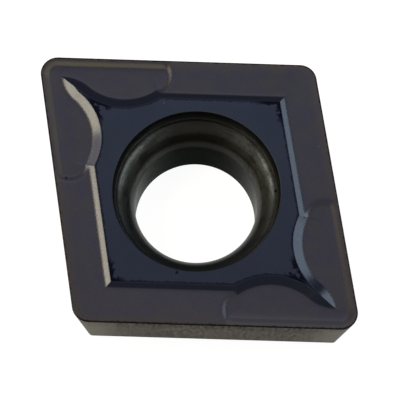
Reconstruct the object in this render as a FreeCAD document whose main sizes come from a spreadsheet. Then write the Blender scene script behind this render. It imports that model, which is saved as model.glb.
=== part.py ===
"""Carbide insert: a single-sided 80 degree rhombic cutting insert with a screw hole.

The insert lies on its base, with its screw hole upright. The origin is at the middle of the base,
+X runs along the long diagonal to an acute corner, +Y along the short diagonal, +Z up the hole.
Lengths are in millimetres and angles in degrees.
"""
import FreeCAD, Part
import Sketcher
import os
from math import cos, pi, radians, sin

NODE = "carbide_insert"
DOCUMENT = FreeCAD.newDocument(NODE)

# Driving sizes: alias, value, meaning
SIZES = [
    ("inscribed_circle", 12.7, "circle that touches the four cutting edges"),
    ("edge_height", 4.76, "cutting edges above the base"),
    ("nose_angle", 80, "angle between two sides at an acute corner"),
    ("clearance_angle", 7, "lean of the flanks, in towards the base"),
    ("nose_radius", 0.8, "corner radius at the cutting edge"),
    ("least_corner_radius", 0.1, "smallest corner radius that the base keeps"),
    ("edge_rounding", 0.05, "honed radius along the cutting edge"),
    ("land_angle", 1, "slope of the land, down from the cutting edge"),
    ("pocket_depth", 0.07, "chip pocket floor below the cutting edge"),
    ("pocket_margin", 0.15, "land left between chip pocket and cutting edge"),
    ("pocket_end_radius", 0.725, "rounded end of a chip pocket, at its floor"),
    ("pocket_end_inset", 0.83, "centre of that round, in from the cutting edge"),
    ("pocket_reach", 5.36, "that centre, along the side from the sharp acute corner"),
    ("pocket_wall_angle", 14, "slope of the chip pockets' walls"),
    ("wall_angle", 17, "slope of the plateau's walls"),
    ("plateau_rise", 0.06, "plateau above the cutting edge"),
    ("plateau_inset", 1.9, "top of the plateau's straight wall, in from the cutting edge"),
    ("wall_length", 5.58, "top of the straight wall, from the short diagonal to its kink"),
    ("scallop_radius", 2.98, "hollow beside an arm, at the plateau's height"),
    ("neck_half_width", 0.04, "half the arm's flat top where it is narrowest"),
    ("arm_tip_radius", 1.45, "rounded side of an arm's tip, at the plateau's height"),
    ("bore_radius", 2.85, "straight part of the screw hole"),
    ("rim_radius", 3.85, "top of the countersink"),
    ("rim_break", 0.04, "broken edge round the top of the countersink"),
    ("collar_depth", 0.85, "steep collar at the top of the countersink"),
    ("collar_foot_radius", 3.73, "lower end of the steep collar"),
    ("seat_radius", 1.67, "rounded seat for the screw's head, seen in section"),
    ("base_break", 0.15, "broken edge where the hole leaves the base"),
]

# Names that the sketcher gives to its own parts
ORIGIN = (-1, 1)
X_AXIS = -1
Y_AXIS = -2
START = 1
END = 2
CENTRE = 3

# An edge this close to the cutting edges' height, in millimetres, is one of them
LEVEL_TOLERANCE = 1e-6


def make_sheet():
    """The spreadsheet with every driving size under its own alias."""
    sheet = DOCUMENT.addObject("Spreadsheet::Sheet", "Sizes")
    for row, (alias, value, meaning) in enumerate(SIZES, start=1):
        sheet.set("A%d" % row, meaning)
        sheet.set("B%d" % row, str(value))
        sheet.setAlias("B%d" % row, alias)
    DOCUMENT.recompute()
    return sheet


SHEET = make_sheet()


def size(alias):
    """The expression that reads one size."""
    return "Sizes." + alias


def angle(alias):
    """The expression that reads one size as an angle."""
    return "(Sizes.%s * 1 deg)" % alias


def value_of(expression):
    """What an expression comes to now, as a plain number."""
    result = SHEET.evalExpression(expression)
    return float(getattr(result, "Value", result))


# Expressions that several sketches share
HALF_WIDTH = "%s / 2" % size("inscribed_circle")
HALF_ANGLE = "(%s / 2)" % angle("nose_angle")
FLANK_LEAN = "%s * tan(%s)" % (size("edge_height"), angle("clearance_angle"))
BASE_CORNER = "max(%s - %s; %s)" % (size("nose_radius"), FLANK_LEAN, size("least_corner_radius"))
LAND_DROP = "%s * tan(%s)" % (size("plateau_inset"), angle("land_angle"))
POCKET_HEIGHT = "%s - %s" % (size("edge_height"), size("pocket_depth"))
POCKET_WALL = "%s / tan(%s)" % (size("pocket_depth"), angle("pocket_wall_angle"))
POCKET_INSET = "(%s + %s)" % (size("pocket_margin"), POCKET_WALL)
PLATEAU_HEIGHT = "%s + %s" % (size("edge_height"), size("plateau_rise"))
FOOT_HEIGHT = "%s - 2 * %s" % (size("edge_height"), size("pocket_depth"))
FOOT_SPREAD = "(%s + 2 * %s) / tan(%s)" % (size("plateau_rise"), size("pocket_depth"), angle("wall_angle"))
PLATEAU_APEX = "(%s - %s) / cos(%s)" % (HALF_WIDTH, size("plateau_inset"), HALF_ANGLE)
KINK_X = "(%s * cos(%s))" % (size("wall_length"), HALF_ANGLE)
KINK_Y = "(%s - %s * sin(%s))" % (PLATEAU_APEX, size("wall_length"), HALF_ANGLE)


def point(x, y):
    return FreeCAD.Vector(x, y, 0)


def origin_plane(body, role):
    return [feature for feature in body.Origin.OriginFeatures if feature.Role == role][0]


def new_sketch(body, name, plane_role, height=None):
    """A sketch on one of the body's own origin planes, lifted to a height if one is given."""
    sketch = body.newObject("Sketcher::SketchObject", name)
    sketch.AttachmentSupport = [(origin_plane(body, plane_role), "")]
    sketch.MapMode = "FlatFace"
    if height is not None:
        sketch.setExpression("AttachmentOffset.Base.z", height)
    return sketch


def rule(sketch, kind, *references):
    """A constraint without a size."""
    sketch.addConstraint(Sketcher.Constraint(kind, *references))


def dimension(sketch, kind, name, expression, *references):
    """A constraint whose size follows the sheet."""
    value = value_of(expression)
    if kind == "Angle":
        value = radians(value)
    index = sketch.addConstraint(Sketcher.Constraint(kind, *references, value))
    sketch.renameConstraint(index, name)
    sketch.setExpression("Constraints." + name, expression)


def add_line(sketch, start, end):
    return sketch.addGeometry(Part.LineSegment(start, end), False)


def add_arc(sketch, centre, radius, first_angle, last_angle):
    """An arc that runs anticlockwise from the first angle to the last, in radians."""
    circle = Part.Circle(centre, FreeCAD.Vector(0, 0, 1), radius)
    return sketch.addGeometry(Part.ArcOfCircle(circle, first_angle, last_angle), False)


def rounded_rhombus(sketch, half_width, radius):
    """Four sides that touch a circle about the origin, with rounded corners on the two axes."""
    half = value_of(HALF_ANGLE) * pi / 180
    round_radius = value_of(radius)
    reach = value_of(half_width) - round_radius
    centres = [point(reach / sin(half), 0), point(0, reach / cos(half)),
               point(-reach / sin(half), 0), point(0, -reach / cos(half))]
    tilt = pi / 2 - half
    normals = [tilt, pi - tilt, pi + tilt, 2 * pi - tilt]
    sides = []
    for side in range(4):
        out = point(round_radius * cos(normals[side]), round_radius * sin(normals[side]))
        sides.append(add_line(sketch, centres[side] + out, centres[(side + 1) % 4] + out))
    corners = []
    for side in range(4):
        next_side = (side + 1) % 4
        turn_end = normals[next_side] + (2 * pi if next_side == 0 else 0)
        corners.append(add_arc(sketch, centres[next_side], round_radius, normals[side], turn_end))
    for side in range(4):
        rule(sketch, "Tangent", sides[side], END, corners[side], START)
        rule(sketch, "Tangent", corners[side], END, sides[(side + 1) % 4], START)
        rule(sketch, "PointOnObject", corners[side], CENTRE, Y_AXIS if side % 2 == 0 else X_AXIS)
    for corner in corners[1:]:
        rule(sketch, "Equal", corners[0], corner)
    dimension(sketch, "Radius", "corner_radius", radius, corners[0])
    dimension(sketch, "Angle", "side_angle", "180 deg - " + HALF_ANGLE, sides[0])
    for name, side in (("first_width", 0), ("third_width", 2), ("fourth_width", 3)):
        dimension(sketch, "Distance", name, half_width, *ORIGIN, sides[side])


def make_loft(body, kind, name, first_section, last_section):
    """A straight-sided loft between two sections."""
    loft = body.newObject(kind, name)
    loft.Profile = first_section
    loft.Sections = [last_section]
    loft.Ruled = True
    return loft


def make_blank(body):
    """The rhombic block, wider at its cutting edges than at its base."""
    base = new_sketch(body, "base_outline", "XY_Plane")
    rounded_rhombus(base, "%s - %s" % (HALF_WIDTH, FLANK_LEAN), BASE_CORNER)
    edge = new_sketch(body, "edge_outline", "XY_Plane", size("edge_height"))
    rounded_rhombus(edge, HALF_WIDTH, size("nose_radius"))
    make_loft(body, "PartDesign::AdditiveLoft", "blank", base, edge)


def make_land(body):
    """The shallow dish inside the cutting edges, whose sloping sides are the land."""
    low = new_sketch(body, "land_inner_outline", "XY_Plane",
                     "%s - %s" % (size("edge_height"), LAND_DROP))
    rounded_rhombus(low, "%s - %s" % (HALF_WIDTH, size("plateau_inset")), size("nose_radius"))
    high = new_sketch(body, "land_outer_outline", "XY_Plane", size("edge_height"))
    rounded_rhombus(high, HALF_WIDTH, size("nose_radius"))
    return make_loft(body, "PartDesign::SubtractiveLoft", "land", low, high)


def hone_edges(body, land):
    """The small radius along the whole cutting edge."""
    DOCUMENT.recompute()
    height = value_of(size("edge_height"))
    names = []
    for number, edge in enumerate(land.Shape.Edges, start=1):
        if max(abs(edge.BoundBox.ZMin - height), abs(edge.BoundBox.ZMax - height)) < LEVEL_TOLERANCE:
            names.append("Edge%d" % number)
    hone = body.newObject("PartDesign::Fillet", "hone")
    hone.Base = (land, names)
    hone.setExpression("Radius", size("edge_rounding"))
    return hone


def pocket_outline(sketch):
    """The floor of one chip pocket, which goes round the acute corner on +X from side to side."""
    half = value_of(HALF_ANGLE) * pi / 180
    inner_width = "%s - %s" % (HALF_WIDTH, POCKET_INSET)
    side_distance = value_of(inner_width)
    nose_radius = "%s - %s" % (size("nose_radius"), POCKET_INSET)
    nose = value_of(nose_radius)
    out = point(sin(half), cos(half))
    along = point(cos(half), -sin(half))
    nose_centre = point((side_distance - nose) / sin(half), 0)
    # The rounded end's centre, as distances from the middle: square to the side and along it
    square = "(%s - %s)" % (HALF_WIDTH, size("pocket_end_inset"))
    lengthways = "(%s / tan(%s) - %s)" % (HALF_WIDTH, HALF_ANGLE, size("pocket_reach"))
    end_x = "(%s * sin(%s) + %s * cos(%s))" % (square, HALF_ANGLE, lengthways, HALF_ANGLE)
    end_y = "(%s * cos(%s) - %s * sin(%s))" % (square, HALF_ANGLE, lengthways, HALF_ANGLE)
    # The round stops where it faces the plateau's kink, and the rest of the outline is under the plateau
    to_kink_x = "(%s - %s)" % (end_x, KINK_X)
    to_kink_y = "(%s - %s)" % (end_y, KINK_Y)
    kink_distance = "sqrt(%s ^ 2 + %s ^ 2)" % (to_kink_x, to_kink_y)
    foot_x = "%s - %s * %s / %s" % (end_x, size("pocket_end_radius"), to_kink_x, kink_distance)
    end_centre = point(value_of(end_x), value_of(end_y))
    end_radius = value_of(size("pocket_end_radius"))
    gap = side_distance - value_of(square)
    back = (end_radius ** 2 - gap ** 2) ** 0.5
    corner = end_centre + out * gap - along * back
    kink_share = end_radius / value_of(kink_distance)
    foot = end_centre - point(value_of(to_kink_x), value_of(to_kink_y)) * kink_share
    root = point(value_of(size("rim_radius")), 0)

    def across(place):
        return point(place.x, -place.y)

    def heading(place, centre):
        return (place - centre).getAngle(point(1, 0)) * (1 if place.y >= centre.y else -1)

    nose_touch = nose_centre + out * nose
    upper_side = add_line(sketch, nose_touch, corner)
    nose_turn = pi / 2 - half
    nose_arc = add_arc(sketch, nose_centre, nose, -nose_turn, nose_turn)
    lower_side = add_line(sketch, across(nose_touch), across(corner))
    first = heading(corner, end_centre)
    last = heading(foot, end_centre) + 2 * pi
    upper_end = add_arc(sketch, end_centre, end_radius, first, last)
    lower_end = add_arc(sketch, across(end_centre), end_radius, 2 * pi - last, 2 * pi - first)
    upper_root = add_line(sketch, foot, root)
    lower_root = add_line(sketch, root, across(foot))
    rule(sketch, "Tangent", upper_side, START, nose_arc, END)
    rule(sketch, "Tangent", nose_arc, START, lower_side, START)
    rule(sketch, "PointOnObject", nose_arc, CENTRE, X_AXIS)
    rule(sketch, "Coincident", upper_side, END, upper_end, START)
    rule(sketch, "Coincident", lower_side, END, lower_end, END)
    rule(sketch, "Coincident", upper_end, END, upper_root, START)
    rule(sketch, "Coincident", lower_end, START, lower_root, END)
    rule(sketch, "Coincident", upper_root, END, lower_root, START)
    rule(sketch, "PointOnObject", upper_root, END, X_AXIS)
    dimension(sketch, "Radius", "nose_radius", nose_radius, nose_arc)
    dimension(sketch, "Angle", "side_angle", "180 deg - " + HALF_ANGLE, upper_side)
    dimension(sketch, "Distance", "upper_width", inner_width, *ORIGIN, upper_side)
    dimension(sketch, "Distance", "lower_width", inner_width, *ORIGIN, lower_side)
    dimension(sketch, "DistanceX", "root_x", size("rim_radius"), *ORIGIN, upper_root, END)
    for name, arc, foot_end in (("upper", upper_end, END), ("lower", lower_end, START)):
        dimension(sketch, "Radius", name + "_radius", size("pocket_end_radius"), arc)
        dimension(sketch, "DistanceX", name + "_x", end_x, *ORIGIN, arc, CENTRE)
        dimension(sketch, "DistanceX", name + "_foot_x", foot_x, *ORIGIN, arc, foot_end)
    dimension(sketch, "DistanceY", "upper_y", end_y, *ORIGIN, upper_end, CENTRE)
    dimension(sketch, "DistanceY", "lower_y", end_y, lower_end, CENTRE, *ORIGIN)


def make_pockets(body):
    """A shallow chip pocket with sloping walls round each acute corner."""
    floor = new_sketch(body, "pocket_floor", "XY_Plane", POCKET_HEIGHT)
    pocket_outline(floor)
    pocket = body.newObject("PartDesign::Pocket", "chip_pocket")
    pocket.Profile = floor
    pocket.Type = 0
    pocket.Reversed = True
    pocket.setExpression("Length", "2 * " + size("pocket_depth"))
    pocket.setExpression("TaperAngle", "90 deg - " + angle("pocket_wall_angle"))
    mirrored = body.newObject("PartDesign::Mirrored", "chip_pocket_pair")
    mirrored.Originals = [pocket]
    mirrored.MirrorPlane = (origin_plane(body, "YZ_Plane"), [""])
    body.Tip = mirrored
    return pocket, mirrored


def plateau_outline(sketch, spread):
    """A quarter of the plateau at one height: straight wall, hollow scallop and pointed arm.

    The spread is how far the outline stands out from the plateau's top edge.
    """
    half = value_of(HALF_ANGLE) * pi / 180
    centre_y = "(%s + %s)" % (size("neck_half_width"), size("scallop_radius"))
    neck_x = "%s + sqrt(%s ^ 2 - (%s - %s) ^ 2)" % (KINK_X, size("scallop_radius"), centre_y, KINK_Y)
    scallop_radius = "%s - %s" % (size("scallop_radius"), spread)
    tip_radius = "%s + %s" % (size("arm_tip_radius"), spread)
    wall_distance = "%s - %s + %s" % (HALF_WIDTH, size("plateau_inset"), spread)

    centre = point(value_of(neck_x), value_of(centre_y))
    hollow = value_of(scallop_radius)
    distance = value_of(wall_distance)
    out = point(sin(half), cos(half))
    along = point(cos(half), -sin(half))
    to_wall = centre.dot(out) - distance
    turn = (hollow ** 2 - to_wall ** 2) ** 0.5
    kink = centre - out * to_wall - along * turn
    apex = point(0, distance / cos(half))
    neck = centre - point(0, hollow)
    tip_round = value_of(tip_radius)
    tip_centre = neck - point(0, tip_round)
    tip = point(centre.x + (tip_round ** 2 - tip_centre.y ** 2) ** 0.5, 0)
    origin = point(0, 0)

    kink_angle = -(kink - centre).getAngle(point(1, 0))
    tip_angle = (tip - tip_centre).getAngle(point(1, 0))
    short_axis = add_line(sketch, origin, apex)
    wall = add_line(sketch, kink, apex)
    scallop = add_arc(sketch, centre, hollow, kink_angle, -pi / 2)
    arm_side = add_arc(sketch, tip_centre, tip_round, tip_angle, pi / 2)
    long_axis = add_line(sketch, origin, tip)
    rule(sketch, "Coincident", short_axis, START, *ORIGIN)
    rule(sketch, "Coincident", long_axis, START, *ORIGIN)
    rule(sketch, "Vertical", short_axis)
    rule(sketch, "Horizontal", long_axis)
    rule(sketch, "Coincident", short_axis, END, wall, END)
    rule(sketch, "Coincident", wall, START, scallop, START)
    rule(sketch, "Tangent", scallop, END, arm_side, END)
    rule(sketch, "Coincident", arm_side, START, long_axis, END)
    rule(sketch, "Vertical", scallop, CENTRE, arm_side, CENTRE)
    dimension(sketch, "Angle", "wall_angle", "180 deg - " + HALF_ANGLE, wall)
    dimension(sketch, "Distance", "wall_distance", wall_distance, *ORIGIN, wall)
    dimension(sketch, "DistanceX", "scallop_x", neck_x, *ORIGIN, scallop, CENTRE)
    dimension(sketch, "DistanceY", "scallop_y", centre_y, *ORIGIN, scallop, CENTRE)
    dimension(sketch, "Radius", "scallop_radius", scallop_radius, scallop)
    dimension(sketch, "Radius", "tip_radius", tip_radius, arm_side)


def make_plateau(body):
    """The raised middle with its four scalloped sides and two pointed arms, from one quarter."""
    foot = new_sketch(body, "plateau_foot", "XY_Plane", FOOT_HEIGHT)
    plateau_outline(foot, FOOT_SPREAD)
    top = new_sketch(body, "plateau_top", "XY_Plane", PLATEAU_HEIGHT)
    plateau_outline(top, "0")
    quarter = make_loft(body, "PartDesign::AdditiveLoft", "plateau_quarter", foot, top)
    whole = body.newObject("PartDesign::MultiTransform", "plateau")
    whole.Originals = [quarter]
    mirrors = []
    for name, role in (("plateau_across", "YZ_Plane"), ("plateau_along", "XZ_Plane")):
        mirror = DOCUMENT.addObject("PartDesign::Mirrored", name)
        mirror.MirrorPlane = (origin_plane(body, role), [""])
        mirrors.append(mirror)
    whole.Transformations = mirrors
    body.Tip = whole
    return quarter, whole


def make_screw_hole(body):
    """The hole: broken rim, steep collar, rounded seat for the screw, straight bore."""
    section = new_sketch(body, "hole_section", "XZ_Plane")
    top = value_of(PLATEAU_HEIGHT)
    rim_outer = "%s + %s" % (size("rim_radius"), size("rim_break"))
    rim_height = "%s - %s" % (PLATEAU_HEIGHT, size("rim_break"))
    collar_foot = "%s - %s" % (PLATEAU_HEIGHT, size("collar_depth"))
    base_outer = "%s + %s" % (size("bore_radius"), size("base_break"))
    radius = value_of(size("seat_radius"))
    bore = value_of(size("bore_radius"))
    seat_edge = point(value_of(size("collar_foot_radius")), value_of(collar_foot))
    sideways = bore + radius - seat_edge.x
    seat_centre = point(bore + radius, seat_edge.y - (radius ** 2 - sideways ** 2) ** 0.5)
    throat = point(bore, seat_centre.y)
    places = [point(0, top), point(value_of(rim_outer), top),
              point(value_of(size("rim_radius")), value_of(rim_height)), seat_edge]
    lines = [add_line(section, a, b) for a, b in zip(places, places[1:])]
    edge_angle = (seat_edge - seat_centre).getAngle(point(1, 0))
    seat = add_arc(section, seat_centre, radius, edge_angle, pi)
    low = [throat, point(bore, value_of(size("base_break"))), point(value_of(base_outer), 0),
           point(0, 0), point(0, top)]
    low_lines = [add_line(section, a, b) for a, b in zip(low, low[1:])]
    top_line, rim_line, collar_line = lines
    bore_line, break_line, base_line, axis_line = low_lines
    chain = [top_line, rim_line, collar_line]
    for first, second in zip(chain, chain[1:]):
        rule(section, "Coincident", first, END, second, START)
    rule(section, "Coincident", collar_line, END, seat, START)
    rule(section, "Tangent", seat, END, bore_line, START)
    chain = [bore_line, break_line, base_line, axis_line, top_line]
    for first, second in zip(chain, chain[1:]):
        rule(section, "Coincident", first, END, second, START)
    rule(section, "Horizontal", top_line)
    rule(section, "Vertical", bore_line)
    rule(section, "Horizontal", base_line)
    rule(section, "Coincident", base_line, END, *ORIGIN)
    rule(section, "Vertical", axis_line)
    dimension(section, "DistanceY", "top_height", PLATEAU_HEIGHT, *ORIGIN, top_line, START)
    dimension(section, "DistanceX", "rim_outer", rim_outer, *ORIGIN, top_line, END)
    dimension(section, "DistanceX", "rim_radius", size("rim_radius"), *ORIGIN, rim_line, END)
    dimension(section, "DistanceY", "rim_height", rim_height, *ORIGIN, rim_line, END)
    dimension(section, "DistanceX", "collar_radius", size("collar_foot_radius"), *ORIGIN, collar_line, END)
    dimension(section, "DistanceY", "collar_height", collar_foot, *ORIGIN, collar_line, END)
    dimension(section, "Radius", "seat_radius", size("seat_radius"), seat)
    dimension(section, "DistanceX", "bore_radius", size("bore_radius"), *ORIGIN, bore_line, END)
    dimension(section, "DistanceY", "base_break", size("base_break"), *ORIGIN, bore_line, END)
    dimension(section, "DistanceX", "base_outer", base_outer, *ORIGIN, base_line, START)
    hole = body.newObject("PartDesign::Groove", "screw_hole")
    hole.Profile = section
    hole.ReferenceAxis = (section, ["V_Axis"])
    hole.Angle = 360
    return hole


def check_features(body, features):
    """Stops if a feature failed, or left the volume as it was."""
    for item in DOCUMENT.Objects:
        if "Invalid" in item.State or "Error" in item.State:
            raise RuntimeError("%s failed: %s" % (item.Name, item.State))
    if body.Shape.isNull() or not body.Shape.isValid() or len(body.Shape.Solids) != 1:
        raise RuntimeError("the insert isn't one valid solid")
    for before, after, sign in features:
        change = (after.Shape.Volume - before.Shape.Volume) * sign
        if change <= 0:
            raise RuntimeError("%s changed the volume by %.4f" % (after.Name, change * sign))


def make_insert():
    """The whole insert, as one body."""
    body = DOCUMENT.addObject("PartDesign::Body", "insert_body")
    body.Label = NODE
    make_blank(body)
    blank = body.Tip
    land = make_land(body)
    hone = hone_edges(body, land)
    pocket, pockets = make_pockets(body)
    quarter, plateau = make_plateau(body)
    hole = make_screw_hole(body)
    DOCUMENT.recompute()
    steps = [(blank, land, -1), (land, hone, -1), (hone, pocket, -1), (pocket, pockets, -1),
             (pockets, quarter, 1), (quarter, plateau, 1), (plateau, hole, -1)]
    check_features(body, steps)
    return body


INSERT = make_insert()
os.makedirs("parts", exist_ok=True)
INSERT.Shape.exportStep(os.path.join("parts", INSERT.Label + ".step"))
print("volume %.2f mm3, box %s" % (INSERT.Shape.Volume, INSERT.Shape.BoundBox))
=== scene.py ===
"""Looks of the carbide insert: a fine mesh of the solid's own form, its finish, floor, light and camera."""
from math import atan2, cos, pi, radians, sin, sqrt, tan

import bpy
import numpy as np
from mathutils import Matrix, Vector


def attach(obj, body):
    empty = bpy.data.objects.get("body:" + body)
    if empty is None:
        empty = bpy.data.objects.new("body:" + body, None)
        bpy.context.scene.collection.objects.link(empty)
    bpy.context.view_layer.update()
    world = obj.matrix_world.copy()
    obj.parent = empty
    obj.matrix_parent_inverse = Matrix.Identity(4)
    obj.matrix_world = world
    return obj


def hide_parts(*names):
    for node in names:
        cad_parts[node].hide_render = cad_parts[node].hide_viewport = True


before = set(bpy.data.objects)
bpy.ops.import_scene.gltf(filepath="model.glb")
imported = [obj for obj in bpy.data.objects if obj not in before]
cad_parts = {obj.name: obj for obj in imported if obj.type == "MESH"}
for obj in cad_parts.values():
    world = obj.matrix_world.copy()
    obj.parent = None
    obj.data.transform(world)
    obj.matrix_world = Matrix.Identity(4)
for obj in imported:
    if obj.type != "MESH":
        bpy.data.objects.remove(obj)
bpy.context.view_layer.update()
MM = 0.001

# The part's own sizes, in millimetres and degrees, as its source names them
INSCRIBED_CIRCLE = 12.7
EDGE_HEIGHT = 4.76
NOSE_ANGLE = 80
CLEARANCE_ANGLE = 7
NOSE_RADIUS = 0.8
EDGE_ROUNDING = 0.05
LAND_ANGLE = 1
POCKET_DEPTH = 0.07
POCKET_MARGIN = 0.15
POCKET_END_RADIUS = 0.725
POCKET_END_INSET = 0.83
POCKET_REACH = 5.36
POCKET_WALL_ANGLE = 14
WALL_ANGLE = 17
PLATEAU_RISE = 0.06
PLATEAU_INSET = 1.9
WALL_LENGTH = 5.58
SCALLOP_RADIUS = 2.98
NECK_HALF_WIDTH = 0.04
ARM_TIP_RADIUS = 1.45
BORE_RADIUS = 2.85
RIM_RADIUS = 3.85
RIM_BREAK = 0.04
COLLAR_DEPTH = 0.85
COLLAR_FOOT_RADIUS = 3.73
SEAT_RADIUS = 1.67
BASE_BREAK = 0.15

# What follows from them, in the quarter where x and y are positive
HALF = radians(NOSE_ANGLE / 2)
OUT = np.array([sin(HALF), cos(HALF)])
ALONG = np.array([cos(HALF), -sin(HALF)])
HALF_WIDTH = INSCRIBED_CIRCLE / 2
PLATEAU_HEIGHT = EDGE_HEIGHT + PLATEAU_RISE
RIM_HEIGHT = PLATEAU_HEIGHT - RIM_BREAK
COLLAR_FOOT = PLATEAU_HEIGHT - COLLAR_DEPTH
WALL_SLOPE = tan(radians(WALL_ANGLE))
POCKET_SLOPE = tan(radians(POCKET_WALL_ANGLE))
LAND_SLOPE = tan(radians(LAND_ANGLE))
LEAN = tan(radians(CLEARANCE_ANGLE))
ACUTE = np.array([(HALF_WIDTH - NOSE_RADIUS) / sin(HALF), 0])
OBTUSE = np.array([0, (HALF_WIDTH - NOSE_RADIUS) / cos(HALF)])
APEX = (HALF_WIDTH - PLATEAU_INSET) / cos(HALF)
KINK = np.array([WALL_LENGTH * cos(HALF), APEX - WALL_LENGTH * sin(HALF)])
SCALLOP_Y = NECK_HALF_WIDTH + SCALLOP_RADIUS
SCALLOP_X = KINK[0] + sqrt(SCALLOP_RADIUS ** 2 - (SCALLOP_Y - KINK[1]) ** 2)
POCKET_END = OUT * (HALF_WIDTH - POCKET_END_INSET) + ALONG * (HALF_WIDTH / tan(HALF) - POCKET_REACH)

# How finely the mesh follows the form
SIDE_STEPS = 190
ACUTE_STEPS = 44
OBTUSE_STEPS = 36
RADIAL_STEPS = 64
TRIAL_STEPS = 700
HONE_STEPS = 6
FLANK_STEPS = 3
SEAT_STEPS = 16
TURN_STEPS = 5
TURN_WEIGHT = 0.9
TURN_BLUR = 3
SPOKE_BLUR = 2
SHARP_ANGLE = 24

# How softly its faces meet, in millimetres
FOOT_SOFTNESS = 0.018
CREST_SOFTNESS = 0.008
POCKET_SOFTNESS = 0.010
SIDE_SOFTNESS = 0.030
SIDE_CHANGE = 0.3
COLLAR_TURN = 0.2

# How far past the kink the straight wall stops counting, in millimetres
ARM_START = 0.8
# What stands for a place that is well inside a pocket
FAR_INSIDE = -9.0

# The rises and distances over which the walls' shares fade, in millimetres
RISE_FADE = 0.02
WALL_FADE = 0.03
SIDE_FADE = 0.05
END_FADE = 0.1

# The slots of the four materials
TOP, FLANK, HOLE, BASE = range(4)

# Ways across the top face and the hole, along which their looks change
DOWN = (0.66, -0.74, 0)
HOLE_DOWN = (0.67, -0.74, 0)
HOLE_ACROSS = (0.75, 0.66, 0)

# What the top face reflects straight on, in red, green and blue
# The land's shaded and lit copies, for a painted gradient of light down the face
LAND_PAINTED_SHADE = (0.0270, 0.0264, 0.0318)
LAND_PAINTED_SHADE_BLUE = (0.0248, 0.0246, 0.0358)
LAND_PAINTED_LIGHT = (0.0312, 0.0300, 0.0362)
LAND_PAINTED_LIGHT_BLUE = (0.0288, 0.0280, 0.0402)
LAND_EDGE = (0.0350, 0.0312, 0.0310)
# Painted highlight and painted shade for the pockets' long outer walls
SIDE_PAINTED_HIGHLIGHT = (0.0620, 0.0565, 0.0500)
SIDE_PAINTED_SHADE = (0.0225, 0.0215, 0.0255)
PLATEAU = (0.0142, 0.0174, 0.0286)
PLATEAU_PALE = (0.0178, 0.0212, 0.0346)
WALL = (0.0104, 0.0118, 0.0188)
WALL_PALE = (0.0128, 0.0142, 0.0218)
CREST_LINE = (0.0040, 0.0042, 0.0095)
STAIN = (0.0024, 0.0024, 0.0060)
HONE = (0.0050, 0.0034, 0.0044)
MARK = (0.0030, 0.0030, 0.0060)
SPECK = (0.075, 0.070, 0.075)
# The same for the flanks, the hole and the base
FLANK_DARK = (0.037, 0.034, 0.030)
FLANK_PALE = (0.074, 0.070, 0.061)
FLANK_PATCH = (0.040, 0.034, 0.033)
FLANK_CORNER = (0.104, 0.102, 0.086)
HOLE_DARK = (0.0135, 0.0134, 0.0122)
HOLE_PALE = (0.0240, 0.0236, 0.0215)
# Painted highlight for the hole's two sides
HOLE_PAINTED_HIGHLIGHT = (0.0620, 0.0635, 0.0605)
HOLE_LAYER = (0.0140, 0.0136, 0.0122)
HOLE_GRAIN = (0.0150, 0.0152, 0.0150)
# Painted shade, bluer, for the hole's lower side
HOLE_PAINTED_SHADE = (0.0130, 0.0160, 0.0225)
# Painted shade on the steep collar under the rim
COLLAR_PAINTED_SHADE = (0.0070, 0.0068, 0.0066)
RIM = (0.034, 0.038, 0.050)
NICK = (0.004, 0.004, 0.005)
BASE_DARK = (0.045, 0.043, 0.039)
BASE_PALE = (0.075, 0.072, 0.065)

# Small dark marks on the top face: place in millimetres, and reach
MARKS = [(-4.87, -3.51, 4.75, 0.07), (1.92, -3.50, 4.82, 0.08)]
# Stains just inside the plateau's edge, near these places
STAINS = [(-6.08, -0.08, 4.82, 0.7), (-0.33, -5.71, 4.82, 0.8),
          (0.03, 5.80, 4.82, 1.1), (6.00, 0.27, 4.82, 0.7)]
# Small pale specks on the top face
SPECKS = [(-3.89, -4.44, 4.73, 0.035), (-3.46, -4.31, 4.73, 0.030),
          (2.78, 5.37, 4.73, 0.035), (-3.95, 2.18, 4.82, 0.030)]
# Small dark nicks in the screw hole
NICKS = [(2.58, 2.64, 3.95, 0.09), (-2.85, -0.04, 1.16, 0.28)]

# Each lamp's name, way from the insert, distance, size, power, colour, and the way its length lies
LAMPS = [
    ("key_lamp", (-0.43, -0.265, 0.86), 0.35, (0.15, 0.05), 0.80, (1.0, 0.83, 0.43), (0.31, -0.12, 0.12)),
    ("key_edge_lamp", (-0.65, -0.02, 0.76), 0.35, (0.12, 0.05), 0.18, (1.0, 0.86, 0.58), (-0.14, 0.20, -0.12)),
    ("left_lamp", (-0.66, -0.56, 0.50), 0.35, (0.20, 0.07), 0.40, (1.0, 0.99, 0.93), (0.34, -0.33, 0.14)),
    ("fill_lamp", (0.22, 0.60, 0.77), 0.35, (0.19, 0.06), 0.33, (0.88, 1.0, 0.82), (0.28, -0.26, 0.12)),
    ("right_lamp", (0.70, 0.44, 0.50), 0.35, (0.32, 0.09), 0.36, (0.80, 0.94, 1.0), (-0.34, 0.88, -0.25)),
    ("top_lamp", (-0.30, 0.36, 0.88), 0.40, (0.12, 0.12), 0.06, (1.0, 1.0, 1.0), (1, 0, 0)),
]
# How much the world lights the insert, and how bright it is where it is seen
WORLD_LIGHT = 0.15
WORLD_SEEN = 1.0

# The floor's half width in metres and its drop below the base in millimetres
FLOOR_REACH = 1.5
FLOOR_DROP = 0.02
# What the floor gives as light and shows to the camera, and how much it glows where it is seen
FLOOR_LIGHTING = (0.8, 0.8, 0.8)
FLOOR_SEEN = (0.14, 0.14, 0.14)
FLOOR_GLOW = 0.95

# The camera's place in millimetres, the two ways across its picture, and its lens
CAMERA_PLACE = (18.432, -22.904, 93.538)
CAMERA_RIGHT = (0.74834, 0.66309, 0.01747)
CAMERA_UP = (-0.63465, 0.70809, 0.30956)
CAMERA_LENS = 184.13
CAMERA_SENSOR = 36
CAMERA_CLIP = (0.002, 10)


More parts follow.
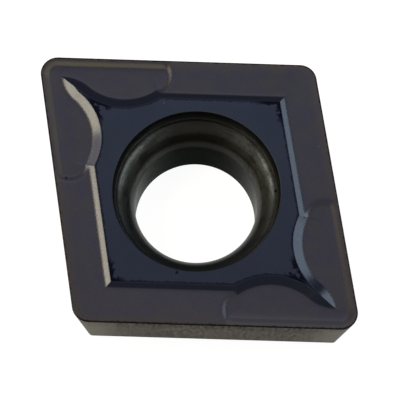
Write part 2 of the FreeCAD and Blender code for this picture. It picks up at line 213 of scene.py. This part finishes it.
def edge_depth(x, y):
    """How far in from the cutting edge a point is."""
    x, y = np.abs(x), np.abs(y)
    depth = HALF_WIDTH - x * OUT[0] - y * OUT[1]
    past_acute = (x - ACUTE[0]) * ALONG[0] + y * ALONG[1] > 0
    past_obtuse = x * ALONG[0] + (y - OBTUSE[1]) * ALONG[1] < 0
    depth = np.where(past_acute, NOSE_RADIUS - np.hypot(x - ACUTE[0], y), depth)
    return np.where(past_obtuse, NOSE_RADIUS - np.hypot(x, y - OBTUSE[1]), depth)


def soft_max(a, b, softness):
    """The larger of two values, rounded off where they cross."""
    return (a + b + np.sqrt((a - b) ** 2 + softness ** 2)) / 2


def plateau_distance(x, y):
    """How far a point stands outside the plateau's top edge."""
    x, y = np.abs(x), np.abs(y)
    wall = x * OUT[0] + y * OUT[1] - (HALF_WIDTH - PLATEAU_INSET)
    hollow = SCALLOP_RADIUS - np.hypot(x - SCALLOP_X, y - SCALLOP_Y)
    arm = np.hypot(x - SCALLOP_X, y - NECK_HALF_WIDTH + ARM_TIP_RADIUS) - ARM_TIP_RADIUS
    past_kink = (x - KINK[0]) * ALONG[0] + (y - KINK[1]) * ALONG[1]
    body = np.where(past_kink > ARM_START, hollow, np.maximum(wall, hollow))
    return np.where(x > SCALLOP_X, arm, body)


def pocket_distance(x, y):
    """How far a point stands outside a chip pocket's floor, past its sides and past its ends."""
    x, y = np.abs(x), np.abs(y)
    inset = POCKET_MARGIN + POCKET_DEPTH / POCKET_SLOPE
    to_kink = KINK - POCKET_END
    from_x, from_y = x - POCKET_END[0], y - POCKET_END[1]
    behind = from_x * ALONG[0] + from_y * ALONG[1] < 0
    outside = to_kink[0] * from_y - to_kink[1] * from_x < 0
    past_end = np.hypot(from_x, from_y) - POCKET_END_RADIUS
    return inset - edge_depth(x, y), np.where(behind & outside, past_end, FAR_INSIDE)


def land_depth(x, y):
    """How far in the land's own outline through a point lies. Its corners all keep the nose radius."""
    x, y = np.abs(x), np.abs(y)
    inner = HALF_WIDTH - NOSE_RADIUS
    depth = HALF_WIDTH - x * OUT[0] - y * OUT[1]
    at_acute = inner - (x - np.sqrt(np.maximum(NOSE_RADIUS ** 2 - y ** 2, 0))) * sin(HALF)
    at_obtuse = inner - (y - np.sqrt(np.maximum(NOSE_RADIUS ** 2 - x ** 2, 0))) * cos(HALF)
    depth = np.where((y < NOSE_RADIUS * cos(HALF)) & (x > y), at_acute, depth)
    return np.where((x < NOSE_RADIUS * sin(HALF)) & (y > x), at_obtuse, depth)


def low_height(x, y):
    """The land with its chip pockets, as if there were no plateau. The long outer walls turn more softly."""
    land = EDGE_HEIGHT - np.maximum(land_depth(x, y), 0) * LAND_SLOPE
    side, end = pocket_distance(x, y)
    softness = POCKET_SOFTNESS + SIDE_SOFTNESS * np.clip((side - end) / SIDE_CHANGE + 0.5, 0, 1)
    pocket = EDGE_HEIGHT - POCKET_DEPTH + soft_max(0, np.maximum(side, end) * POCKET_SLOPE, softness)
    return -soft_max(-land, -pocket, softness)


def top_height(x, y):
    """The top face: land and chip pockets, then the plateau."""
    wall = PLATEAU_HEIGHT - soft_max(0, plateau_distance(x, y) * WALL_SLOPE, CREST_SOFTNESS)
    return np.minimum(soft_max(low_height(x, y), wall, FOOT_SOFTNESS), PLATEAU_HEIGHT)


def wall_share(x, y):
    """1 on the plateau's walls, and 0 on its top and beyond its foot."""
    out = plateau_distance(x, y)
    above = PLATEAU_HEIGHT - out * WALL_SLOPE - low_height(x, y)
    return np.clip(above / RISE_FADE, 0, 1) * np.clip(out / WALL_FADE, 0, 1)


def side_share(x, y):
    """1 on the chip pockets' long outer walls, and 0 elsewhere."""
    side, end = pocket_distance(x, y)
    below_land = POCKET_DEPTH - side * POCKET_SLOPE - land_depth(x, y) * LAND_SLOPE
    on_rise = np.clip(side / SIDE_FADE, 0, 1) * np.clip(below_land / RISE_FADE, 0, 1)
    return on_rise * np.clip(1 - end / END_FADE, 0, 1)


def outline():
    """Points round the cutting edge from the acute corner on +X, with the way out at each."""
    corners = [(ACUTE, 0, pi / 2 - HALF, ACUTE_STEPS), (OBTUSE, pi / 2, HALF, OBTUSE_STEPS),
               (-ACUTE, pi, pi / 2 - HALF, ACUTE_STEPS), (-OBTUSE, 3 * pi / 2, HALF, OBTUSE_STEPS)]
    places, ways = [], []
    for index, (centre, middle, turn, steps) in enumerate(corners):
        angles = middle + np.linspace(-turn, turn, steps + 1)
        way = np.c_[np.cos(angles), np.sin(angles)]
        places.append(centre + way * NOSE_RADIUS)
        ways.append(way)
        next_centre = corners[(index + 1) % 4][0]
        share = np.linspace(0, 1, SIDE_STEPS + 1)[1:-1, None]
        places.append(centre + way[-1] * NOSE_RADIUS + (next_centre - centre) * share)
        ways.append(np.repeat(way[-1:], SIDE_STEPS - 1, axis=0))
    start = ACUTE_STEPS // 2
    return np.roll(np.vstack(places), -start, axis=0), np.roll(np.vstack(ways), -start, axis=0)


def blurred(values, width, axis):
    """A running mean, taken twice, that keeps the array's shape."""
    for _ in range(2):
        total = 0
        for shift in range(-width, width + 1):
            total = total + np.roll(values, shift, axis=axis)
        values = total / (2 * width + 1)
    return values


def hone_section():
    """The honed edge in section: distances out from the cutting edge, and heights."""
    lean, slope = radians(CLEARANCE_ANGLE), radians(LAND_ANGLE)
    land_normal = np.array([-sin(slope), cos(slope)])
    flank_normal = np.array([cos(lean), -sin(lean)])
    centre = np.linalg.solve(np.array([land_normal, flank_normal]), [-EDGE_ROUNDING, -EDGE_ROUNDING])
    angles = np.linspace(pi / 2 + slope, -lean, HONE_STEPS + 1)
    heights = EDGE_HEIGHT + centre[1] + EDGE_ROUNDING * np.sin(angles)
    return centre[0] + EDGE_ROUNDING * np.cos(angles), heights


def hole_section():
    """The screw hole in section from the plateau down, with a soft collar foot: radii and heights."""
    seat_x = BORE_RADIUS + SEAT_RADIUS
    seat_z = COLLAR_FOOT - sqrt(SEAT_RADIUS ** 2 - (seat_x - COLLAR_FOOT_RADIUS) ** 2)
    start = atan2(COLLAR_FOOT - seat_z, COLLAR_FOOT_RADIUS - seat_x)
    angles = np.linspace(start + COLLAR_TURN / SEAT_RADIUS, pi, SEAT_STEPS + 1)
    seat = np.c_[seat_x + SEAT_RADIUS * np.cos(angles), seat_z + SEAT_RADIUS * np.sin(angles)]
    rim = np.array([RIM_RADIUS, RIM_HEIGHT])
    foot = np.array([COLLAR_FOOT_RADIUS, COLLAR_FOOT])
    above = foot + (rim - foot) / np.linalg.norm(rim - foot) * COLLAR_TURN
    share = np.linspace(0, 1, TURN_STEPS + 1)[:-1, None]
    turn = above * (1 - share) ** 2 + foot * 2 * share * (1 - share) + seat[0] * share ** 2
    break_points = [(BORE_RADIUS, BASE_BREAK), (BORE_RADIUS + BASE_BREAK, 0)]
    return np.vstack([rim, turn, seat, break_points])


def spoke_shares(rim, inner):
    """Shares of each spoke from the hole's rim to the cutting edge, closest together where the face turns."""
    share = np.linspace(0, 1, TRIAL_STEPS)
    trial = rim[:, None] + (inner - rim)[:, None] * share[None, :, None]
    height = top_height(trial[..., 0], trial[..., 1])
    length = np.linalg.norm(inner - rim, axis=1)[:, None]
    tilt = np.arctan(np.diff(height, axis=1) / (length / (TRIAL_STEPS - 1)))
    turning = np.pad(np.abs(np.diff(tilt, axis=1)), ((0, 0), (1, 0)))
    weight = blurred(1 / TRIAL_STEPS + blurred(turning, TURN_BLUR, 1) * TURN_WEIGHT, SPOKE_BLUR, 0)
    reach = np.concatenate([np.zeros((len(rim), 1)), np.cumsum(weight, axis=1)], axis=1)
    wanted = np.linspace(0, 1, RADIAL_STEPS + 1)
    return np.array([np.interp(wanted * row[-1], row, share) for row in reach])


def insert_rings():
    """Rings of points from the base out, over the top and down the hole, each with its material's slot."""
    edge, way = outline()
    hone_out, hone_z = hone_section()
    inner = edge + way * hone_out[0]
    angle = np.arctan2(inner[:, 1], inner[:, 0])
    spoke = np.c_[np.cos(angle), np.sin(angle)]
    rim = spoke * (RIM_RADIUS + RIM_BREAK)
    shares = spoke_shares(rim, inner)
    rings = []

    def add_ring(place, height, slot):
        rings.append((np.c_[place, np.broadcast_to(height, len(place))], slot))

    for step in range(FLANK_STEPS):
        z = hone_z[-1] * (step / FLANK_STEPS)
        add_ring(edge - way * (EDGE_HEIGHT - z) * LEAN, z, FLANK)
    for out, z in zip(hone_out[:0:-1], hone_z[:0:-1]):
        add_ring(edge + way * out, z, TOP)
    for step in range(RADIAL_STEPS, -1, -1):
        place = rim + (inner - rim) * shares[:, step, None]
        add_ring(place, top_height(place[:, 0], place[:, 1]), TOP if step else HOLE)
    for radius, z in hole_section():
        add_ring(spoke * radius, z, HOLE if z > 0 else BASE)
    return rings


def build_insert():
    """The rings joined into one closed mesh, with the distances and shares that its materials use."""
    rings, slots = zip(*insert_rings())
    count = len(rings[0])
    points = np.vstack(rings) * MM
    around = np.arange(count)
    after = (around + 1) % count
    faces = []
    for ring in range(len(rings)):
        low, high = ring * count, (ring + 1) % len(rings) * count
        faces.append(np.c_[low + around, low + after, high + after, high + around])
    mesh = bpy.data.meshes.new("insert_body")
    mesh.from_pydata(points.tolist(), [], np.vstack(faces).tolist())
    mesh.polygons.foreach_set("material_index", np.repeat(slots, count).astype(np.int32))
    mesh.polygons.foreach_set("use_smooth", np.ones(len(mesh.polygons), dtype=bool))
    x, y = points.T[:2] / MM
    fields = {"edge_depth": edge_depth(x, y), "plateau_out": plateau_distance(x, y),
              "on_wall": wall_share(x, y), "on_side": side_share(x, y)}
    for name, values in fields.items():
        mesh.attributes.new(name, "FLOAT", "POINT").data.foreach_set("value", values.astype(np.float32))
    mesh.set_sharp_from_angle(angle=radians(SHARP_ANGLE))
    mesh.validate()
    piece = bpy.data.objects.new("insert_body", mesh)
    bpy.context.scene.collection.objects.link(piece)
    return piece


class Nodes:
    """Short ways to add and join a material's nodes. The metal ones reflect their base colour straight on, and
    their specular tint at the edge of view."""

    def __init__(self, name, metallic=1.0):
        self.material = bpy.data.materials.new(name)
        self.material.use_nodes = True
        self.tree = self.material.node_tree
        self.shader = self.tree.nodes["Principled BSDF"]
        self.set("Metallic", metallic)

    def put(self, socket, value):
        """Join an output to a socket, or give the socket a value. A colour has red, green and blue."""
        if hasattr(value, "is_output"):
            self.tree.links.new(value, socket)
        elif socket.type == "RGBA":
            socket.default_value = (*value, 1)
        else:
            socket.default_value = value

    def set(self, name, value):
        """Put an output or a value on one of the shader's own sockets."""
        self.put(self.shader.inputs[name], value)

    def add(self, kind, inputs=None, **settings):
        node = self.tree.nodes.new(kind)
        for key, value in settings.items():
            setattr(node, key, value)
        for key, value in (inputs or {}).items():
            self.put(node.inputs[key], value)
        return node

    def math(self, operation, first, second=0.0):
        return self.add("ShaderNodeMath", {0: first, 1: second}, operation=operation).outputs[0]

    def times(self, first, second):
        return self.math("MULTIPLY", first, second)

    def vector(self, operation, first, second=(0, 0, 0)):
        node = self.add("ShaderNodeVectorMath", {0: first, 1: second}, operation=operation)
        return node.outputs["Value" if operation in ("DOT_PRODUCT", "DISTANCE") else "Vector"]

    def mix(self, factor, first, second):
        node = self.add("ShaderNodeMix", {"Factor": factor}, data_type="RGBA")
        self.put(node.inputs[6], first)
        self.put(node.inputs[7], second)
        return node.outputs[2]

    def cover(self, color, share, amount, over):
        """A colour covered by another, by a share of an amount."""
        return self.mix(self.times(share, amount), color, over)

    def field(self, name):
        return self.add("ShaderNodeAttribute", attribute_name=name).outputs["Fac"]

    def step(self, value, low, high, start=0.0, end=1.0):
        """A smooth change from start to end as a value goes from low to high."""
        inputs = {"Value": value, "From Min": low, "From Max": high, "To Min": start, "To Max": end}
        return self.add("ShaderNodeMapRange", inputs, interpolation_type="SMOOTHSTEP").outputs[0]

    def shifted(self, value, noise, amount):
        """A value moved by a noise, by half the amount each way."""
        return self.math("ADD", value, self.times(self.math("SUBTRACT", noise, 0.5), amount))

    def place(self):
        """The point on the object, in millimetres."""
        return self.vector("MULTIPLY", self.add("ShaderNodeTexCoord").outputs["Object"], (1 / MM,) * 3)

    def noise(self, place, scale, detail, rough):
        inputs = {"Vector": place, "Scale": scale, "Detail": detail, "Roughness": rough}
        return self.add("ShaderNodeTexNoise", inputs).outputs["Fac"]

    def bump(self, height, strength, distance):
        """Let the surface rise and fall with a height. The distance is in millimetres."""
        inputs = {"Strength": strength, "Distance": distance * MM, "Height": height}
        self.set("Normal", self.add("ShaderNodeBump", inputs).outputs[0])


def spots(n, place, list_of_spots, ragged, tear=2.2):
    """1 inside any of the spots, with ragged edges, and 0 elsewhere."""
    total = 0.0
    for x, y, z, reach in list_of_spots:
        away = n.shifted(n.vector("DISTANCE", place, (x, y, z)), ragged, reach * tear)
        total = n.math("MAXIMUM", total, n.step(away, reach * 1.25, reach * 0.6))
    return total


def coated_top():
    """Dark coated face: satin, browner on the land and towards the edge, bluer on the plateau."""
    n = Nodes("coated_top")
    place = n.place()
    grain = n.noise(place, scale=14, detail=4, rough=0.65)
    cloud = n.noise(place, scale=0.55, detail=3, rough=0.5)
    fine = n.noise(place, scale=5, detail=3, rough=0.6)
    patches = n.step(n.noise(place, scale=1.3, detail=4, rough=0.6), 0.35, 0.65)
    depth, plateau_out = n.field("edge_depth"), n.field("plateau_out")
    on_wall, on_side = n.field("on_wall"), n.field("on_side")
    down = n.vector("DOT_PRODUCT", place, DOWN)

    # The land, paler down the face as painted light, and browner near the edge
    dim = n.mix(patches, LAND_PAINTED_SHADE, LAND_PAINTED_SHADE_BLUE)
    bright = n.mix(patches, LAND_PAINTED_LIGHT, LAND_PAINTED_LIGHT_BLUE)
    land = n.mix(n.shifted(n.step(down, -5.5, 6.5), cloud, 0.6), dim, bright)
    edge_glow = n.times(n.step(depth, 0.60, 0.1), n.step(fine, 0.25, 0.65, 0.35, 1.0))
    land = n.cover(land, edge_glow, 0.8, LAND_EDGE)

    # The pockets' long outer walls, with a painted highlight on three sides of the face and painted shade on
    # the lowest
    painted_highlight_sides = n.math("ADD", n.step(down, 5.5, -3.0, 0.0, 0.4), n.step(down, -5.3, -5.8, 0.0, 0.6))
    land = n.cover(land, on_side, painted_highlight_sides, SIDE_PAINTED_HIGHLIGHT)
    land = n.cover(land, on_side, n.step(down, 5.3, 5.8, 0.0, 0.8), SIDE_PAINTED_SHADE)

    # The plateau, with a dark line and torn stains inside its edge
    color = n.mix(n.step(plateau_out, 0.02, -0.02), land, n.mix(cloud, PLATEAU, PLATEAU_PALE))
    color = n.mix(on_wall, color, n.mix(fine, WALL, WALL_PALE))
    inside = n.step(plateau_out, 0.015, -0.01)
    crest_line = n.step(n.shifted(plateau_out, fine, 0.20), -0.11, -0.05)
    color = n.cover(color, n.times(crest_line, inside), 0.7, CREST_LINE)
    torn = n.step(n.shifted(plateau_out, fine, 0.8), -0.22, -0.14)
    near = n.times(inside, spots(n, place, STAINS, fine, tear=0.6))
    color = n.cover(color, n.times(torn, near), 0.95, STAIN)

    # The honed edge, and the small marks and specks
    hone = n.step(n.shifted(depth, fine, 0.12), 0.10, 0.05)
    color = n.cover(color, hone, 0.85, HONE)
    color = n.cover(color, spots(n, place, MARKS, fine), 0.85, MARK)
    color = n.cover(color, spots(n, place, SPECKS, fine), 0.6, SPECK)

    n.set("Base Color", color)
    n.set("Specular Tint", (0.5, 0.5, 0.52))
    n.set("Roughness", n.math("SUBTRACT", n.step(grain, 0.2, 0.8, 0.24, 0.31), n.times(on_wall, 0.12)))
    n.bump(grain, strength=0.25, distance=0.0025)
    return n.material


def ground_flank():
    """Ground flanks: greyer, with fine lines down from the cutting edge, and paler at the corners."""
    n = Nodes("ground_flank")
    place = n.place()
    lines = n.noise(n.vector("MULTIPLY", place, (1, 1, 0.04)), scale=9, detail=3, rough=0.7)
    patches = n.noise(place, scale=0.5, detail=2, rough=0.5)
    along = n.vector("DOT_PRODUCT", n.vector("ABSOLUTE", place), (*ALONG, 0))
    from_middle = n.math("ABSOLUTE", n.math("SUBTRACT", along, 1.05))
    near_corner = n.step(from_middle, 3.6, 5.8, 0.0, 0.8)

    color = n.mix(n.step(lines, 0.35, 0.65), FLANK_DARK, FLANK_PALE)
    color = n.mix(n.step(patches, 0.35, 0.7, 0.0, 0.35), color, FLANK_PATCH)
    n.set("Base Color", n.mix(near_corner, color, FLANK_CORNER))
    grazing = n.mix(n.step(lines, 0.38, 0.62), (0.38, 0.36, 0.34), (0.50, 0.485, 0.455))
    n.set("Specular Tint", n.mix(near_corner, grazing, (0.58, 0.57, 0.52)))
    n.set("Roughness", 0.42)
    n.bump(lines, strength=0.3, distance=0.006)
    return n.material


def coated_hole():
    """The screw hole's pressed surface: olive black, with a cloudy sheen."""
    n = Nodes("coated_hole", metallic=0.55)
    place = n.place()
    height = n.add("ShaderNodeSeparateXYZ", {"Vector": place}).outputs["Z"]
    grain = n.noise(place, scale=10, detail=4, rough=0.65)
    cloud = n.noise(place, scale=1.6, detail=3, rough=0.6)
    layers = n.noise(n.vector("MULTIPLY", place, (1, 1, 4)), scale=1.1, detail=4, rough=0.6)
    across = n.math("ABSOLUTE", n.vector("DOT_PRODUCT", place, HOLE_ACROSS))
    down = n.vector("DOT_PRODUCT", place, HOLE_DOWN)

    # Painted highlight at two sides, clouded in layers, and painted shade, bluer, on the lower side
    color = n.mix(cloud, HOLE_DARK, HOLE_PALE)
    painted_highlight = n.times(n.step(across, 0.6, 3.0), n.step(height, 2.1, 2.9, 0.35, 0.9))
    color = n.mix(painted_highlight, color, HOLE_PAINTED_HIGHLIGHT)
    color = n.mix(n.step(layers, 0.44, 0.62, 0.0, 0.6), color, HOLE_LAYER)
    color = n.mix(n.step(grain, 0.53, 0.66, 0.0, 0.7), color, HOLE_GRAIN)
    color = n.mix(n.step(down, -1.5, 3.0, 0.0, 0.8), color, HOLE_PAINTED_SHADE)

    # The collar above the seat, darkened as painted shade, the paler rim, and the nicks
    collar = n.step(height, COLLAR_FOOT - 0.05, COLLAR_FOOT + 0.60, 0.0, 0.85)
    color = n.mix(collar, color, COLLAR_PAINTED_SHADE)
    color = n.mix(n.step(height, RIM_HEIGHT - 0.015, RIM_HEIGHT + 0.01), color, RIM)
    n.set("Base Color", n.mix(spots(n, place, NICKS, grain), color, NICK))

    on_seat = n.times(n.step(height, 2.5, 3.1), n.step(height, COLLAR_FOOT + 0.3, COLLAR_FOOT))
    n.set("Specular Tint", n.mix(on_seat, (0.42, 0.43, 0.43), (0.80, 0.80, 0.80)))
    n.set("Specular IOR Level", 0.0)
    n.set("Roughness", n.step(grain, 0.2, 0.8, 0.16, 0.26))
    n.bump(grain, strength=0.5, distance=0.010)
    return n.material


def ground_base():
    """The ground base, out of sight in the photograph."""
    n = Nodes("ground_base")
    lines = n.noise(n.vector("MULTIPLY", n.place(), (0.05, 1, 1)), scale=9, detail=3, rough=0.7)
    n.set("Base Color", n.mix(lines, BASE_DARK, BASE_PALE))
    n.set("Specular Tint", (0.50, 0.50, 0.48))
    n.set("Roughness", 0.38)
    n.bump(lines, strength=0.2, distance=0.003)
    return n.material


def seen_directly(tree):
    """1 for camera, glossy and transmission rays, 0 for the rays that light the object."""
    rays = tree.nodes.new("ShaderNodeLightPath")
    total = rays.outputs["Is Camera Ray"]
    for name in ("Is Glossy Ray", "Is Transmission Ray"):
        larger = tree.nodes.new("ShaderNodeMath")
        larger.operation = "MAXIMUM"
        tree.links.new(total, larger.inputs[0])
        tree.links.new(rays.outputs[name], larger.inputs[1])
        total = larger.outputs[0]
    return total


def floor_material():
    """Pale floor, white where no shadow falls and clear when seen from beneath."""
    n = Nodes("pale_floor", metallic=0.0)
    seen = seen_directly(n.tree)
    n.set("Base Color", n.mix(seen, FLOOR_LIGHTING, FLOOR_SEEN))
    n.set("Roughness", 0.9)
    n.set("Specular IOR Level", 0.0)
    n.set("Emission Color", (1, 1, 1))
    n.set("Emission Strength", n.times(seen, FLOOR_GLOW))
    beneath = n.add("ShaderNodeNewGeometry").outputs["Backfacing"]
    clear = n.add("ShaderNodeBsdfTransparent").outputs[0]
    blend = n.add("ShaderNodeMixShader", {0: beneath, 1: n.shader.outputs[0], 2: clear})
    n.put(n.tree.nodes["Material Output"].inputs["Surface"], blend.outputs[0])
    return n.material


def make_floor():
    """The floor, just under the base."""
    mesh = bpy.data.meshes.new("floor")
    reach, drop = FLOOR_REACH, -FLOOR_DROP * MM
    corners = [(-reach, -reach, drop), (reach, -reach, drop), (reach, reach, drop), (-reach, reach, drop)]
    mesh.from_pydata(corners, [], [(0, 1, 2, 3)])
    mesh.materials.append(floor_material())
    floor = bpy.data.objects.new("floor", mesh)
    bpy.context.scene.collection.objects.link(floor)


def make_world():
    """A white world that lights the insert only a little."""
    world = bpy.data.worlds.new("studio")
    bpy.context.scene.world = world
    world.use_nodes = True
    tree = world.node_tree
    back = tree.nodes["Background"]
    back.inputs["Color"].default_value = (1, 1, 1, 1)
    strength = tree.nodes.new("ShaderNodeMapRange")
    strength.inputs["To Min"].default_value = WORLD_LIGHT
    strength.inputs["To Max"].default_value = WORLD_SEEN
    tree.links.new(seen_directly(tree), strength.inputs["Value"])
    tree.links.new(strength.outputs[0], back.inputs["Strength"])


def add_lamp(name, way, distance, size, power, color, along):
    """A soft lamp in a given direction from the insert, facing it, with its length along another."""
    data = bpy.data.lights.new(name, "AREA")
    data.shape = "RECTANGLE"
    data.size, data.size_y = size
    data.energy = power
    data.color = color
    lamp = bpy.data.objects.new(name, data)
    way = Vector(way).normalized()
    across = way.cross(Vector(along)).normalized()
    turn = Matrix((across.cross(way), across, way)).transposed().to_4x4()
    lamp.matrix_world = Matrix.Translation(way * distance) @ turn
    lamp.visible_camera = False
    bpy.context.scene.collection.objects.link(lamp)


def make_camera():
    """The camera that fits the photograph's outline of the insert."""
    data = bpy.data.cameras.new("camera")
    data.sensor_width = CAMERA_SENSOR
    data.lens = CAMERA_LENS
    data.clip_start, data.clip_end = CAMERA_CLIP
    camera = bpy.data.objects.new("camera", data)
    right = Vector(CAMERA_RIGHT).normalized()
    up = Vector(CAMERA_UP).normalized()
    turn = Matrix((right, up, right.cross(up))).transposed().to_4x4()
    camera.matrix_world = Matrix.Translation(Vector(CAMERA_PLACE) * MM) @ turn
    bpy.context.scene.collection.objects.link(camera)
    bpy.context.scene.camera = camera


make_camera()
make_floor()
make_world()
for lamp in LAMPS:
    add_lamp(*lamp)

insert = build_insert()
for material in (coated_top(), ground_flank(), coated_hole(), ground_base()):
    insert.data.materials.append(material)
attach(insert, "root")
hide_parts("carbide_insert")

bpy.context.scene.view_settings.view_transform = "Standard"
